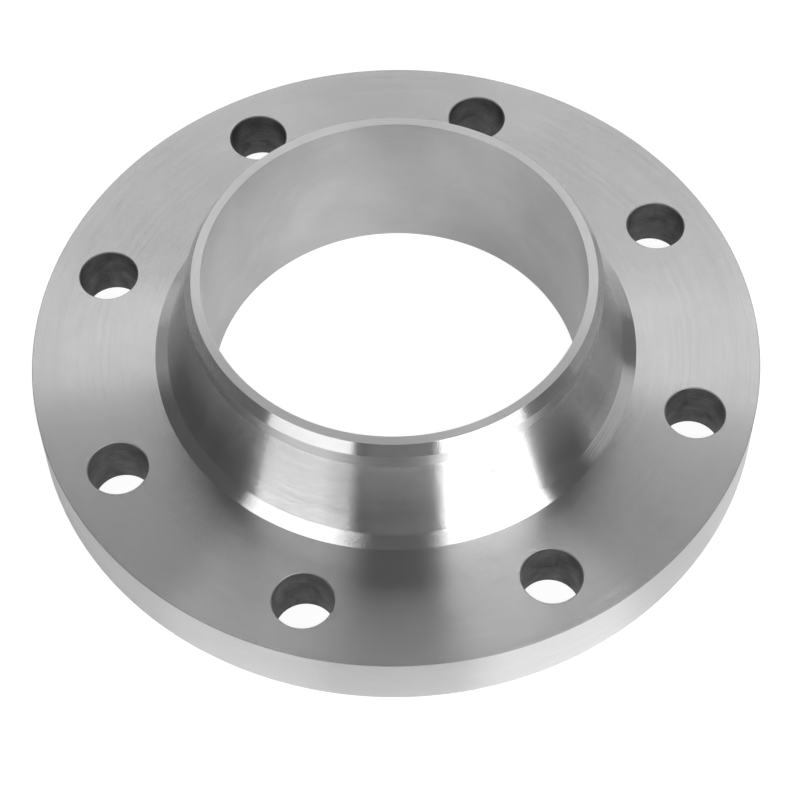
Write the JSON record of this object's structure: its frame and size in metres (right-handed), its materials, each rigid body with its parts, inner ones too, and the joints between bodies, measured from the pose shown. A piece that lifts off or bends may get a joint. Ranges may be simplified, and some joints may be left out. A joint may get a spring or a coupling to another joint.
{
  "type": "weld neck flange",
  "caption": "Round steel pipe flange with bolt holes, a tapered hub, a short neck bevelled for butt welding and a straight through bore.",
  "frame": {"origin": "centre of the gasket face, on the axis of the bore", "axes": "+Z along the bore, from the gasket face towards the weld end; the bolt holes straddle the X and Y axes"},
  "size_m": [0.285, 0.285, 0.0695],
  "materials": {
    "turned_steel": "bare machined steel with fine concentric tool marks"
  },
  "bodies": {
    "root": {"flange": "turned_steel"}
  },
  "joints": []
}
